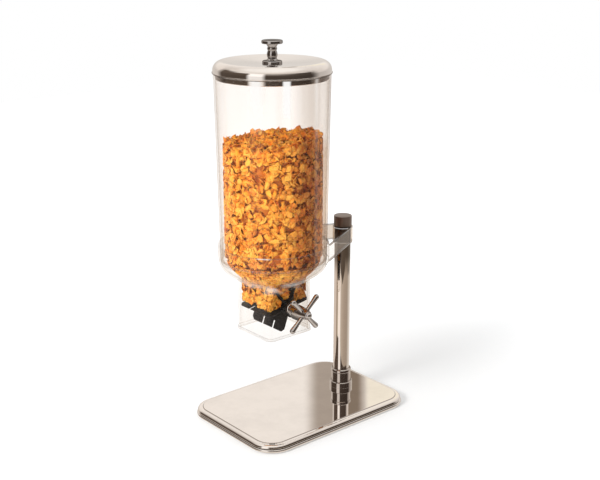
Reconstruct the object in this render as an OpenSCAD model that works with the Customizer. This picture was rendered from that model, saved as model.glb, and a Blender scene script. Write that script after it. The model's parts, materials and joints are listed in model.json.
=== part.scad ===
// Countertop cereal dispenser: a clear container on a swivelling clear hopper, a hand-turned
// portion wheel in the hopper's chute, and a weighted steel stand.
// Millimetres. Origin: on the table, under the centre of the base. +Z up, -Y towards the user,
// the post stands at +Y and the portion handle is on the +X side.

/* [Base] */
// Width of the base, along X
base_w = 200; // [170:1:260]
// Length of the base, along Y
base_l = 290; // [270:1:340]
// Radius of the base's corners in plan
base_corner_r = 37; // [30:1:60]
// Thickness of the steel plate under the tray
plate_t = 5; // [4:0.5:6.5]
// Height of the tray's flat top above the table
tray_top_z = 14; // [13.5:0.5:18]
// Width of the tray's sloping shoulder
tray_shoulder_w = 9; // [7:0.5:12]

/* [Post] */
// Distance of the post behind the base's centre
post_y = 86.5; // [80:0.5:100]
// Outer diameter of the post tube
post_d = 25.4; // [24:0.1:28]
// Height of the tube's top end above the table
post_top_z = 258; // [246:1:275]
// Diameter of the knob on top of the post
cap_d = 28.2; // [27:0.1:34]
// Height of the knob on top of the post
cap_h = 16.5; // [13:0.5:22]

/* [Hopper] */
// Distance of the hopper's axis in front of the base's centre
hopper_y = -51.8; // [-60:0.1:-45]
// Outer radius of the cup that holds the container
cup_r = 82; // [81.5:0.5:86]
// Height of the cup's rim above the tube's top end
arm_h = 25.5; // [20:0.5:32]
// Outer width of the square chute
chute_w = 82; // [74:1:84]
// Height of the chute's mouth above the table
chute_mouth_z = 147.5; // [140:0.5:150]
// Wall thickness of the clear mouldings
wall = 2.6; // [2.2:0.1:3.2]

/* [Container] */
// Outer radius of the container's mouth
container_top_r = 83.7; // [82:0.1:84]
// Height of the container's mouth above the table
container_top_z = 533; // [480:1:560]
// Level of the cereal in the container, above the table
fill_z = 438; // [350:1:450]

/* [Lid] */
// Outer radius of the lid
lid_r = 85.4; // [85.2:0.1:88]
// Height of the lid above the container's mouth
lid_h = 17; // [15:0.5:22]
// Depth of the dish in the lid's top
lid_dish = 3; // [1:0.5:5]
// Height of the lid's knob
knob_h = 31.5; // [30:0.5:36]

/* [Portion wheel] */
// Height of the wheel's shaft above the table
shaft_z = 191; // [190:0.5:192]
// Number of rubber vanes
vane_count = 6; // [5, 6]
// Distance of the handle's cross from the hopper's axis
cross_x = 70.6; // [68:0.2:76]
// Length of each handle spoke from the shaft's axis
spoke_l = 35; // [30:0.5:38]

/* [Hidden] */

fit = 0.05;              // radial clearance of a running fit
slip = 0.3;              // clearance between parts that lift apart by hand
eps = 1;                 // overrun of a cutting tool past a face
$fn = 96;

// base heights and fixings
foot_gap = 1.5;          // the plate's height above the table
foot_t = 3;
foot_r = 9;
flange_out = 1;          // how far the plate stands proud of the tray
plate_top_z = foot_gap + plate_t;
groove_h = 1.5;          // gasket showing between plate and tray
tray_edge_z = plate_top_z + groove_h;
sheet_t = 1.2;
bead_r = plate_t / 2;
fix_x = base_w / 2 - base_corner_r;
fix_y = base_l / 2 - base_corner_r;
foot_inset = 12;         // the feet's distance outwards from the fixing screws
screw_r = 2;
screw_head_r = 4;
boss_r = 5;
screw_l = 8.5;           // length of the base's fixing screws, head included
tapping_gap = 0.02;      // clearance that stands for the free play of a screw thread

// post foot and tie rod
stiffener_w = 60;
stiffener_t = 3;
flange_r = 18;
flange_h = 9.5;
ferrule_r = 15.25;
ferrule_h = 21.5;
ferrule_bead_r = 16;
ferrule_bead_h = 6;
tube_t = 1.2;
tube_seat_z = tray_top_z + 3;
rod_r = 4;
rod_hole_r = 4.5;
washer_r = 10;
washer_t = 1.6;
nut_h = 5;
nut_across_flats = 13;
nut_bay_r = 13;
stiffener_z = tray_top_z - sheet_t - stiffener_t;
washer_z = stiffener_z - washer_t;
nut_z = washer_z - nut_h;
rod_end_z = nut_z - 0.4;
spigot_plug_h = 20;
journal_gap = 0.05;      // play between the tube's top end and the eye
spigot_r = 8;
spigot_top_z = post_top_z + arm_h - 0.5;
stud_r = 5;
stud_l = 11;
rod_thread_l = 14;       // engagement of the tie rod in the spigot
cap_washer_t = 1;
cap_washer_z = post_top_z + arm_h + 0.1;
cap_z = cap_washer_z + cap_washer_t;

// hopper
eye_r = 15.5;
cup_rim_z = post_top_z + arm_h;
arm_z = post_top_z + journal_gap;
cup_floor_z = post_top_z + 2.5;   // ledge that carries the container
ledge_w = 3.4;
ledge_t = 2.5;
shoulder_r = 27;         // radius of the curve under the cup
shoulder_turn = 55;      // how far that curve turns inwards, in degrees
shoulder_z = cup_floor_z + 3.5;
chute_wall = 2.5;
chute_corner_r = 9.5;
chute_rim_h = 4;
chute_rim_out = 1;
chute_inner = chute_w - 2 * chute_wall;
chute_top_z = post_top_z - 23;

// container: a slight taper lets it come out of its mould
taper = 0.0184;          // change of radius per unit of height
seal_t = 1.8;
container_foot_z = cup_floor_z + seal_t;
function container_r(z) = container_top_r - taper * (container_top_z - z);
container_foot_r = container_r(container_foot_z);

// portion wheel: the vanes just clear the chute
vane_r = chute_inner / 2 - 0.4;
vane_w = chute_inner - 3;
vane_t = 2;
vane_start = 10;         // angle of the first vane above the horizontal, in degrees
vane_sleeve_r = 11;
vane_corner = 5;         // cut off the vanes' outer corners, to pass the chute's round corners
slit_w = 4.5;
slit_depth = 12;
slit_x = 12;
core_r = 8.5;
shaft_r = 4;
shaft_flat = 3;          // distance from the shaft's axis to its flat
bush_r = 6;
bush_collar_r = 9;
bush_collar_t = 1.2;
bush_out_x = chute_w / 2 + bush_collar_t;
shaft_left_x = -chute_w / 2 - 7;
clip_groove_r = 3;
clip_t = 1;
shaft_washer_t = 0.8;
clip_x = -bush_out_x - shaft_washer_t - 0.2;
hub_start_x = bush_out_x + shaft_washer_t + 0.2;
hub_big_r = 9.5;
spoke_r = 4.1;
spoke_neck_r = 3;
spoke_root = 5.2;        // distance of each spoke's inner end from the shaft's axis
spoke_angle = 43;
grub_r = 2;
grub_x = 9;              // distance of the grub screw from the hub's inner end
hub_end_x = cross_x + 7.5;
shaft_right_x = cross_x + 3;

// cereal
cereal_gap = 8;          // gap between the loose cereal and the container's outer face
pocket_gap = 1.2;

// lid
gasket_t = 1;
lid_plate_z = container_top_z + gasket_t;
lid_lip_h = 1.6;
lid_round_r = 13;
plug_h = 8;
plug_r = container_top_r - wall - slip;
knob_z = lid_plate_z + lid_h - lid_dish;
knob_foot_r = 14;
knob_foot_h = 2.8;
knob_disc_r = 15;
knob_disc_h = 5;
knob_neck_r = 6.1;
knob_bead_r = 7.3;
lid_screw_r = 2.5;
lid_screw_l = 12;        // length under the head
lid_screw_head_r = 4.6;
lid_screw_head_h = 2.6;
lid_washer_r = 7;
lid_washer_t = 1;
lid_screw_z = knob_z - sheet_t - lid_washer_t;

module at_post() { translate([0, post_y, 0]) children(); }
module at_hopper() { translate([0, hopper_y, 0]) children(); }
// Children are drawn along Z and laid along the shaft, +Z becoming +X.
module along_shaft(x) { translate([x, hopper_y, shaft_z]) rotate([0, 90, 0]) children(); }

// A flat tube between two radii, standing on z.
module ring(outer, inner, h, z) {
    translate([0, 0, z]) difference() {
        cylinder(r = outer, h = h);
        translate([0, 0, -eps]) cylinder(r = inner, h = h + 2 * eps);
    }
}

// Outline of a rectangle with round corners, centred on the origin.
module round_rect(w, l, r) {
    square([w - 2 * r, l], center = true);
    square([w, l - 2 * r], center = true);
    for (x = [-1, 1], y = [-1, 1])
        translate([x * (w / 2 - r), y * (l / 2 - r)]) circle(r = r);
}

module round_block(w, l, r, h, z) {
    translate([0, 0, z]) linear_extrude(h) round_rect(w, l, r);
}

// Cross-shaped driver recess, centred on the origin.
module cross_slot(l, w, h) {
    for (a = [0, 90]) rotate([0, 0, a]) cube([l, w, h], center = true);
}

// Sweeps a 2D profile round a rectangle with round corners. The profile's X is the distance
// outwards from the corner's centre and its Y is the height.
module sweep_round_rect(w, l, r) {
    half_w = w / 2 - r;
    half_l = l / 2 - r;
    for (k = [0 : 3]) {
        x = (k == 0 || k == 3) ? half_w : -half_w;
        y = k < 2 ? half_l : -half_l;
        translate([x, y, 0]) rotate([0, 0, 90 * k]) rotate_extrude(angle = 90) children();
        run = k % 2 == 0 ? 2 * half_l : 2 * half_w;
        start = k == 0 ? [half_w, half_l] : k == 1 ? [-half_w, half_l]
              : k == 2 ? [-half_w, -half_l] : [half_w, -half_l];
        translate([start[0], start[1], 0]) rotate([0, 0, 90 * k]) rotate([90, 0, 0])
            linear_extrude(run) children();
    }
}

// Points of an arc from one angle to another, both ends included.
function arc(cx, cy, r, from, to, n) =
    [for (i = [0 : n]) let (a = from + (to - from) * i / n) [cx + r * cos(a), cy + r * sin(a)]];

// ---------------------------------------------------------------- base

// Heavy plate with a half-round edge.
module base_plate() {
    color([0.62, 0.60, 0.58]) difference() {
        union() {
            round_block(base_w - plate_t, base_l - plate_t, base_corner_r - bead_r + flange_out,
                        plate_t, foot_gap);
            sweep_round_rect(base_w, base_l, base_corner_r) intersection() {
                translate([base_corner_r + flange_out - bead_r, foot_gap + bead_r])
                    circle(r = bead_r);
                translate([0, foot_gap]) square([base_corner_r + flange_out, plate_t]);
            }
        }
        at_post() translate([0, 0, foot_gap - eps]) cylinder(r = nut_bay_r, h = plate_t + 2 * eps);
        at_fixings() {
            translate([0, 0, foot_gap - eps]) cylinder(r = screw_r + 0.3, h = plate_t + 2 * eps);
            translate([0, 0, foot_gap]) cylinder(r1 = screw_head_r + 0.1, r2 = screw_r + 0.1,
                                                 h = screw_head_r - screw_r);
            translate([0, 0, foot_gap - eps]) cylinder(r = screw_head_r + 0.1, h = eps);
        }
        at_feet() translate([0, 0, foot_gap - eps])
            cylinder(r = foot_r, h = foot_t - foot_gap + eps);
    }
}

module at_fixings() {
    for (x = [-1, 1], y = [-1, 1]) translate([x * fix_x, y * fix_y, 0]) children();
}

module at_feet() {
    for (x = [-1, 1], y = [-1, 1])
        translate([x * (fix_x + foot_inset), y * (fix_y + foot_inset), 0]) children();
}

// Section of the pressed tray from the corner's centre out to its edge.
module tray_section() {
    r = base_corner_r;
    inner = r - tray_shoulder_w;
    step = 0.9;          // fall from the flat to the shoulder
    shoulder = 1.3;      // fall to the shoulder's outer part, where the rolled edge begins
    roll = tray_top_z - tray_edge_z - shoulder;
    under_z = tray_top_z - sheet_t;
    top = concat([[0, tray_top_z], [inner, tray_top_z]],
                 [[inner + 1.2, tray_top_z - step], [inner + 3.4, tray_top_z - shoulder]],
                 arc(r - roll, tray_edge_z, roll, 90, 0, 10));
    under = concat([[r - sheet_t, tray_edge_z]],
                   arc(r - roll, tray_edge_z, roll - sheet_t, 0, 90, 8),
                   [[inner + 3.2, under_z - shoulder], [inner + 0.4, under_z - step],
                    [inner - 0.8, under_z], [0, under_z]]);
    polygon(concat(top, under));
}

// Polished pressed tray with four threaded bosses under it.
module base_tray() {
    color([0.86, 0.83, 0.80]) difference() {
        union() {
            sweep_round_rect(base_w, base_l, base_corner_r) tray_section();
            translate([0, 0, tray_top_z - sheet_t / 2])
                cube([base_w - 2 * base_corner_r, base_l - 2 * base_corner_r, sheet_t],
                     center = true);
            at_fixings() translate([0, 0, plate_top_z])
                cylinder(r = boss_r, h = tray_top_z - sheet_t / 2 - plate_top_z);
        }
        at_fixings() translate([0, 0, plate_top_z - eps])
            cylinder(r = screw_r + tapping_gap, h = eps + 5);
        at_post() translate([0, 0, tray_top_z - 3]) cylinder(r = rod_hole_r, h = 5);
    }
}

// Dark strip that fills the groove between plate and tray.
module base_gasket() {
    color([0.12, 0.11, 0.11]) difference() {
        round_block(base_w - 1.2, base_l - 1.2, base_corner_r - 0.6, groove_h, plate_top_z);
        round_block(base_w - 8, base_l - 8, base_corner_r - 4, groove_h + 2 * eps,
                    plate_top_z - eps);
    }
}

module base_feet() {
    color([0.10, 0.10, 0.10]) at_feet() rotate_extrude()
        polygon([[0, 0], [foot_r - 1.4, 0], [foot_r - 0.4, 0.6], [foot_r - fit, foot_gap],
                 [foot_r - fit, foot_t], [0, foot_t]]);
}

// Countersunk screws up into the tray's bosses.
module base_screws() {
    head_h = screw_head_r - screw_r;
    color([0.70, 0.70, 0.72]) at_fixings() difference() {
        union() {
            translate([0, 0, foot_gap]) cylinder(r1 = screw_head_r, r2 = screw_r, h = head_h);
            translate([0, 0, foot_gap + head_h]) cylinder(r = screw_r, h = screw_l - head_h);
        }
        translate([0, 0, foot_gap]) cross_slot(3.6, 0.9, 2);
    }
}

// ---------------------------------------------------------------- post

module post_stiffener() {
    color([0.55, 0.55, 0.56]) at_post() difference() {
        round_block(stiffener_w, stiffener_w, 6, stiffener_t, stiffener_z);
        translate([0, 0, stiffener_z - eps]) cylinder(r = rod_hole_r, h = stiffener_t + 2 * eps);
    }
}

// Turned foot that stands on the tray and seats the tube.
module post_flange() {
    z = tray_top_z;
    edge = 0.8;
    color([0.25, 0.23, 0.23]) at_post() difference() {
        rotate_extrude() polygon([[0, z], [flange_r, z], [flange_r, z + flange_h - edge],
                                  [flange_r - edge, z + flange_h], [0, z + flange_h]]);
        translate([0, 0, tube_seat_z]) cylinder(r = post_d / 2, h = flange_h);
        translate([0, 0, z - eps]) cylinder(r = rod_hole_r, h = flange_h);
    }
}

// Sleeve above the foot, with a bead round its top.
module post_ferrule() {
    z = tray_top_z + flange_h;
    bead_z = z + ferrule_h - ferrule_bead_h;
    soft = 1.2;
    color([0.45, 0.43, 0.42]) at_post() rotate_extrude()
        polygon([[post_d / 2, z], [ferrule_r, z], [ferrule_r, bead_z],
                 [ferrule_bead_r, bead_z + soft], [ferrule_bead_r, bead_z + ferrule_bead_h - soft],
                 [ferrule_bead_r - soft, bead_z + ferrule_bead_h],
                 [post_d / 2, bead_z + ferrule_bead_h]]);
}

module post_tube() {
    color([0.80, 0.77, 0.74]) at_post()
        ring(post_d / 2, post_d / 2 - tube_t, post_top_z - tube_seat_z, tube_seat_z);
}

// Plug in the tube's top, with the journal that the hopper swivels on and the knob's stud.
module post_spigot() {
    color([0.60, 0.60, 0.62]) at_post() difference() {
        union() {
            translate([0, 0, post_top_z - spigot_plug_h])
                cylinder(r = post_d / 2 - tube_t, h = spigot_plug_h);
            translate([0, 0, post_top_z]) cylinder(r = spigot_r, h = spigot_top_z - post_top_z);
            translate([0, 0, spigot_top_z]) cylinder(r = stud_r, h = stud_l);
        }
        translate([0, 0, post_top_z - spigot_plug_h - eps])
            cylinder(r = rod_r + tapping_gap, h = rod_thread_l + eps);
    }
}

module tie_rod() {
    top = post_top_z - spigot_plug_h + rod_thread_l - eps;
    color([0.66, 0.66, 0.66]) at_post() translate([0, 0, rod_end_z])
        cylinder(r = rod_r, h = top - rod_end_z);
}

module tie_washer() {
    color([0.66, 0.66, 0.66]) at_post() ring(washer_r, rod_r + 0.2, washer_t, washer_z);
}

module tie_nut() {
    color([0.66, 0.66, 0.66]) at_post() difference() {
        translate([0, 0, nut_z]) cylinder(r = nut_across_flats / sqrt(3), h = nut_h, $fn = 6);
        translate([0, 0, nut_z - eps]) cylinder(r = rod_r + tapping_gap, h = nut_h + 2 * eps);
    }
}

// ---------------------------------------------------------------- knob on the post

module cap_washer() {
    color([0.16, 0.13, 0.12]) at_post()
        ring(cap_d / 2 - 1, stud_r + 0.3, cap_washer_t, cap_washer_z);
}

// Dark knob that holds the hopper down on its journal.
module post_cap() {
    r = cap_d / 2;
    z = cap_z;
    top = z + cap_h;
    color([0.29, 0.23, 0.20]) at_post() difference() {
        rotate_extrude() polygon(concat([[0, z], [r - 0.5, z], [r, z + 0.5], [r, top - 1.6]],
                                        arc(r - 1.2, top - 1.6, 1.2, 0, 70, 5),
                                        [[r * 0.5, top], [0, top]]));
        translate([0, 0, z - eps]) cylinder(r = stud_r + fit, h = stud_l + 1);
    }
}

// ---------------------------------------------------------------- hopper

// Tangent points of the line that touches the cup and the eye on the same side.
function tangent(r_cup, r_eye, side) =
    let (d = post_y - hopper_y, a = asin((r_cup - r_eye) / d), n = [side * cos(a), sin(a)])
    [[r_cup * n[0], hopper_y + r_cup * n[1]], [r_eye * n[0], post_y + r_eye * n[1]]];

// Plan of the two arms that run from the cup to the eye, touching both.
module arms_plan() {
    for (side = [-1, 1]) {
        outer = tangent(cup_r, eye_r, side);
        inner = tangent(cup_r - wall, eye_r - wall, side);
        polygon([outer[0], outer[1], inner[1], inner[0]]);
    }
}

// Half section of the shoulder from a level down to the chute; inset moves its surface inwards.
module shoulder_section(inset, top_z, floor_r) {
    r = shoulder_r - inset;
    curve = arc(cup_r - shoulder_r, shoulder_z, r, -asin((shoulder_z - top_z) / r),
                -shoulder_turn, 12);
    end = curve[12];
    low_z = end[1] - (end[0] - floor_r) * tan(90 - shoulder_turn);
    polygon(concat([[0, top_z]], curve, [[floor_r, low_z], [0, low_z]]));
}

// One clear moulding: cup, shoulder, square chute, arms and eye.
module hopper() {
    chute_h = chute_top_z - chute_mouth_z;
    bore_h = cup_rim_z + eps - cup_floor_z;
    color([0.93, 0.95, 0.96, 0.35]) difference() {
        union() {
            translate([0, 0, arm_z]) linear_extrude(cup_rim_z - arm_z) arms_plan();
            at_post() translate([0, 0, arm_z]) cylinder(r = eye_r, h = cup_rim_z - arm_z);
            at_hopper() {
                translate([0, 0, shoulder_z]) cylinder(r = cup_r, h = cup_rim_z - shoulder_z);
                rotate_extrude() shoulder_section(0, shoulder_z, chute_inner / 2);
                round_block(chute_w, chute_w, chute_corner_r, chute_h, chute_mouth_z);
                round_block(chute_w + 2 * chute_rim_out, chute_w + 2 * chute_rim_out,
                            chute_corner_r + chute_rim_out, chute_rim_h, chute_mouth_z);
            }
        }
        at_hopper() {
            translate([0, 0, cup_floor_z]) cylinder(r1 = container_r(cup_floor_z) + slip,
                                                    r2 = container_r(cup_floor_z + bore_h) + slip,
                                                    h = bore_h);
            translate([0, 0, cup_floor_z - ledge_t - eps])
                cylinder(r = container_foot_r - ledge_w, h = ledge_t + 2 * eps);
            rotate_extrude()
                shoulder_section(wall, cup_floor_z - ledge_t, chute_inner / 2 - wall);
            round_block(chute_inner, chute_inner, chute_corner_r - chute_wall, chute_h + eps,
                        chute_mouth_z - eps);
        }
        at_post() translate([0, 0, post_top_z - eps])
            cylinder(r = post_d / 2, h = arm_h + 2 * eps);
        along_shaft(-chute_w / 2 - eps) cylinder(r = bush_r, h = chute_w + 2 * eps);
    }
}

// Dark plain bearing pressed in the eye.
module bracket_bush() {
    color([0.23, 0.19, 0.17]) at_post()
        ring(post_d / 2, spigot_r + fit, cup_rim_z - arm_z, arm_z);
}

// Flanged bearings pressed in the chute's two side walls.
module chute_bushes() {
    color([0.92, 0.92, 0.90]) for (side = [0, 1]) at_hopper() mirror([side, 0, 0])
        translate([0, 0, shaft_z]) rotate([0, 90, 0]) difference() {
            union() {
                translate([0, 0, chute_inner / 2]) cylinder(r = bush_r, h = chute_wall);
                translate([0, 0, chute_w / 2]) cylinder(r = bush_collar_r - 1, h = bush_collar_t);
            }
            translate([0, 0, chute_inner / 2 - eps])
                cylinder(r = shaft_r + fit, h = chute_wall + bush_collar_t + 2 * eps);
        }
}

module container_seal() {
    color([0.92, 0.92, 0.92]) at_hopper()
        ring(container_foot_r, container_foot_r - ledge_w, seal_t, cup_floor_z);
}

// Loose cereal between the container and the wheel.
module cereal_throat() {
    top = container_foot_z - 1;
    low = shaft_z + vane_r * 0.45;
    block = chute_inner - 3;
    color([0.90, 0.55, 0.12]) difference() {
        at_hopper() intersection() {
            union() {
                rotate_extrude() shoulder_section(cereal_gap, top, chute_inner / 2 - cereal_gap);
                round_block(block, block, chute_corner_r - 4, chute_top_z - low, low);
            }
            translate([0, 0, low]) cylinder(r = cup_r, h = top - low);
        }
        along_shaft(-chute_w / 2) cylinder(r = vane_r + pocket_gap, h = chute_w);
    }
}

// ---------------------------------------------------------------- portion wheel and handle

// Shaft with a flat for the core and a groove for the clip.
module drive_shaft() {
    color([0.75, 0.75, 0.76]) difference() {
        along_shaft(shaft_left_x) cylinder(r = shaft_r, h = shaft_right_x - shaft_left_x);
        along_shaft(clip_x - clip_t) ring(shaft_r + eps, clip_groove_r, clip_t, 0);
        translate([-vane_w / 2 - fit, hopper_y - shaft_r, shaft_z + shaft_flat])
            cube([vane_w + 2 * fit, 2 * shaft_r, shaft_r]);
    }
}

module wheel_core() {
    bore = shaft_r + 0.02;
    color([0.08, 0.08, 0.09]) along_shaft(-vane_w / 2) difference() {
        cylinder(r = core_r, h = vane_w);
        translate([0, 0, -eps]) difference() {
            cylinder(r = bore, h = vane_w + 2 * eps);
            translate([-shaft_r - shaft_flat - 0.02, -shaft_r - eps, 0])
                cube([shaft_r, 2 * (shaft_r + eps), vane_w + 2 * eps]);
        }
    }
}

// Section of one vane, standing along +Y, with a softened tip.
module vane_section() {
    half = vane_t / 2;
    soft = 0.7;
    polygon([[-half, core_r + 1], [half, core_r + 1], [half, vane_r - soft],
             [half - soft, vane_r], [soft - half, vane_r], [-half, vane_r - soft]]);
}

// Wedges that cut a vane's two outer corners, with the vane standing along +Y.
module vane_corners() {
    c = vane_corner;
    for (side = [0, 1]) mirror([side, 0, 0]) translate([vane_w / 2, vane_r, -vane_t])
        linear_extrude(2 * vane_t) polygon([[-c - eps, eps], [eps, eps], [eps, -c - eps]]);
}

// Rubber sleeve with slit vanes that carry the cereal round.
module wheel_vanes() {
    angles = [for (k = [0 : vane_count - 1]) vane_start + 360 / vane_count * k];
    color([0.06, 0.06, 0.07]) difference() {
        along_shaft(-vane_w / 2) linear_extrude(vane_w) difference() {
            union() {
                circle(r = vane_sleeve_r);
                for (a = angles) rotate(a) vane_section();
            }
            circle(r = core_r);
        }
        for (a = angles, x = [-slit_x, slit_x])
            translate([x, hopper_y, shaft_z]) rotate([a, 0, 0])
                translate([-slit_w / 2, vane_r - slit_depth, -vane_t])
                    cube([slit_w, slit_depth + eps, 2 * vane_t]);
        for (a = angles) translate([0, hopper_y, shaft_z]) rotate([a, 0, 0]) vane_corners();
    }
}

// Open ring that snaps into the shaft's groove.
module shaft_clip() {
    color([0.30, 0.30, 0.32]) along_shaft(clip_x - clip_t + 0.1) difference() {
        ring(shaft_r + 2.5, clip_groove_r + 0.02, clip_t - 0.2, 0);
        translate([0, -2, -eps]) cube([shaft_r + 4, 4, clip_t + 2 * eps]);
    }
}

module shaft_washers() {
    color([0.85, 0.85, 0.85]) for (x = [-bush_out_x - shaft_washer_t - 0.1, bush_out_x + 0.1])
        along_shaft(x) ring(shaft_r + 3, shaft_r + fit, shaft_washer_t, 0);
}

// Turned barrel of the handle, on the shaft's right end.
module handle_hub() {
    x = hub_start_x;
    span = hub_end_x - x;
    bore = shaft_right_x - x;
    waist = 5.6;             // length of the collar and groove before the long taper
    fall = 3;                // how much the radius falls along the taper
    color([0.80, 0.78, 0.76]) difference() {
        along_shaft(x) rotate_extrude() polygon(concat(
            [[0, 0], [hub_big_r - 0.6, 0], [hub_big_r, 0.6], [hub_big_r, 3]],
            [[hub_big_r - 1.6, 3.6], [hub_big_r - 1.6, 5.2]],
            [for (i = [0 : 10]) let (u = i / 10)
                [hub_big_r - fall * u + 1.2 * sin(180 * u), waist + (span - waist) * u]],
            [[0, span]]));
        along_shaft(x - eps) cylinder(r = shaft_r + tapping_gap, h = bore + eps);
        along_shaft(x + grub_x) rotate([90, 0, 0])
            cylinder(r = grub_r + tapping_gap, h = hub_big_r + 2);
        at_spokes() cylinder(r = spoke_neck_r + tapping_gap, h = hub_big_r);
    }
}

// Places children at the root of each spoke, +Z running out along it.
module at_spokes() {
    for (k = [0 : 3]) translate([cross_x, hopper_y, shaft_z])
        rotate([spoke_angle + 90 * k, 0, 0]) translate([0, spoke_root, 0]) rotate([-90, 0, 0])
            children();
}

// Four rods screwed into the barrel, swelling to round ends.
module handle_spokes() {
    run = spoke_l - spoke_root;
    color([0.82, 0.80, 0.78]) at_spokes() rotate_extrude()
        polygon(concat([[0, 0], [spoke_neck_r, 0], [spoke_neck_r, run * 0.25],
                        [spoke_neck_r + 0.3, run * 0.5]],
                       arc(0, run - spoke_r, spoke_r, 0, 90, 8)));
}

module handle_end_cap() {
    color([0.80, 0.78, 0.76]) along_shaft(hub_end_x) rotate_extrude()
        polygon(concat([[0, 0], [5.6, 0], [5.6, 1]], arc(0, 1, 5.2, 10, 90, 8)));
}

module handle_grub_screw() {
    color([0.35, 0.35, 0.36]) along_shaft(hub_start_x + grub_x) rotate([90, 0, 0])
        difference() {
            translate([0, 0, shaft_r + 0.05]) cylinder(r = grub_r, h = 4);
            translate([0, 0, shaft_r + 3]) cylinder(r = 0.8, h = 2, $fn = 6);
        }
}

// Portions of cereal held between the upper vanes.
module cereal_pockets() {
    step = 360 / vane_count;
    half = step / 2;
    r = vane_r - pocket_gap;
    thick = vane_t / 2 + pocket_gap;
    width = vane_w - 6;
    color([0.90, 0.55, 0.12]) translate([0, hopper_y, shaft_z])
        for (k = [0 : 2]) rotate([vane_start + step * (k + 0.5), 0, 0])
            rotate([0, 90, 0]) translate([0, 0, -width / 2]) linear_extrude(width)
                difference() {
                    intersection() {
                        circle(r = r);
                        translate([0, thick / sin(half)])
                            polygon([[0, 0], [r * tan(half), r], [-r * tan(half), r]]);
                    }
                    circle(r = vane_sleeve_r + pocket_gap);
                }
}

// ---------------------------------------------------------------- container

// Clear tapered tube, open at both ends.
module container() {
    z0 = container_foot_z;
    z1 = container_top_z;
    color([0.95, 0.95, 0.94, 0.30]) at_hopper() rotate_extrude()
        polygon([[container_r(z0) - wall, z0], [container_r(z0), z0], [container_r(z1), z1],
                 [container_r(z1) - wall, z1]]);
}

module cereal_column() {
    z0 = container_foot_z;
    color([0.92, 0.58, 0.14]) at_hopper() rotate_extrude()
        polygon([[0, z0], [container_r(z0) - cereal_gap, z0],
                 [container_r(fill_z) - cereal_gap - 3, fill_z], [0, fill_z + 3]]);
}

// ---------------------------------------------------------------- lid

// Spun steel top with a rolled lip that rests on the container.
module lid_shell() {
    z = lid_plate_z;
    r = lid_r - 0.9;
    top = z + lid_h;
    rc = r - lid_round_r;
    zc = top - lid_round_r;
    low = top - lid_dish;
    t = sheet_t;
    color([0.85, 0.82, 0.79]) at_hopper() difference() {
        rotate_extrude() polygon(concat(
            [[0, low], [knob_foot_r + 1, low]],
            arc(rc, zc, lid_round_r, 90, 0, 11),
            [[r, z + lid_lip_h], [lid_r, z + lid_lip_h - 0.3], [lid_r, z + 0.3],
             [lid_r - 0.3, z], [plug_r, z], [plug_r, z + t]],
            [[r - t, z + lid_lip_h]],
            arc(rc, zc, lid_round_r - t, 0, 90, 11),
            [[knob_foot_r + 1, low - t], [0, low - t]]));
        translate([0, 0, low - t - eps]) cylinder(r = lid_screw_r + 0.3, h = t + 2 * eps);
    }
}

// Ring under the lid that centres it in the container's mouth.
module lid_plug() {
    r = plug_r;
    low = lid_plate_z - plug_h;
    top = lid_plate_z + sheet_t + 0.8;
    color([0.80, 0.77, 0.74]) at_hopper() rotate_extrude()
        polygon([[r, low + 0.6], [r, top], [r - sheet_t, top], [r - sheet_t, low],
                 [r - 0.6, low]]);
}

module lid_gasket() {
    color([0.22, 0.19, 0.18]) at_hopper()
        ring(container_top_r - 0.2, container_top_r - wall + 0.1, gasket_t - 0.05,
             container_top_z + 0.02);
}

// Turned knob: a foot, a barrel, a bead and a flat disc.
module lid_knob() {
    z = knob_z;
    foot = z + knob_foot_h;
    barrel_z = foot + 3.6;
    barrel_h = 9.6;
    bead_z = barrel_z + barrel_h + 0.8;
    bead_h = 5.2;
    disc_z = z + knob_h - knob_disc_h;
    color([0.50, 0.48, 0.48]) at_hopper() difference() {
        rotate_extrude() polygon(concat(
            [[0, z], [knob_foot_r, z], [knob_foot_r, foot - 0.9], [knob_foot_r - 0.9, foot],
             [knob_bead_r + 1.2, foot + 0.6], [knob_neck_r, foot + 3]],
            [for (i = [0 : 8]) let (u = i / 8)
                [knob_neck_r + 0.3 + 1.1 * sin(180 * u), barrel_z + barrel_h * u]],
            [for (i = [0 : 8]) let (u = i / 8)
                [knob_neck_r + 0.9 * sin(180 * u), bead_z + bead_h * u]],
            [[knob_bead_r + 1.2, disc_z - 0.6], [knob_disc_r - 0.8, disc_z],
             [knob_disc_r, disc_z + 0.8], [knob_disc_r, disc_z + knob_disc_h - 1.2],
             [knob_disc_r - 0.9, disc_z + knob_disc_h - 0.3], [0, disc_z + knob_disc_h]]));
        translate([0, 0, z - eps]) cylinder(r = lid_screw_r + tapping_gap, h = lid_screw_l + eps);
    }
}

module lid_washer() {
    color([0.70, 0.70, 0.70]) at_hopper()
        ring(lid_washer_r, lid_screw_r + 0.2, lid_washer_t, lid_screw_z);
}

module lid_screw() {
    z = lid_screw_z;
    color([0.70, 0.70, 0.72]) at_hopper() difference() {
        union() {
            translate([0, 0, z]) cylinder(r = lid_screw_r, h = lid_screw_l);
            translate([0, 0, z - lid_screw_head_h])
                cylinder(r1 = lid_screw_head_r - 1, r2 = lid_screw_head_r, h = lid_screw_head_h);
        }
        translate([0, 0, z - lid_screw_head_h]) cross_slot(5, 1, lid_screw_head_h);
    }
}

base_plate();
base_tray();
base_gasket();
base_feet();
base_screws();
post_stiffener();
post_flange();
post_ferrule();
post_tube();
post_spigot();
tie_rod();
tie_washer();
tie_nut();
cap_washer();
post_cap();
hopper();
bracket_bush();
chute_bushes();
container_seal();
cereal_throat();
drive_shaft();
wheel_core();
wheel_vanes();
shaft_clip();
shaft_washers();
handle_hub();
handle_spokes();
handle_end_cap();
handle_grub_screw();
cereal_pockets();
container();
cereal_column();
lid_shell();
lid_plug();
lid_gasket();
lid_knob();
lid_screw();
lid_washer();
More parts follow.
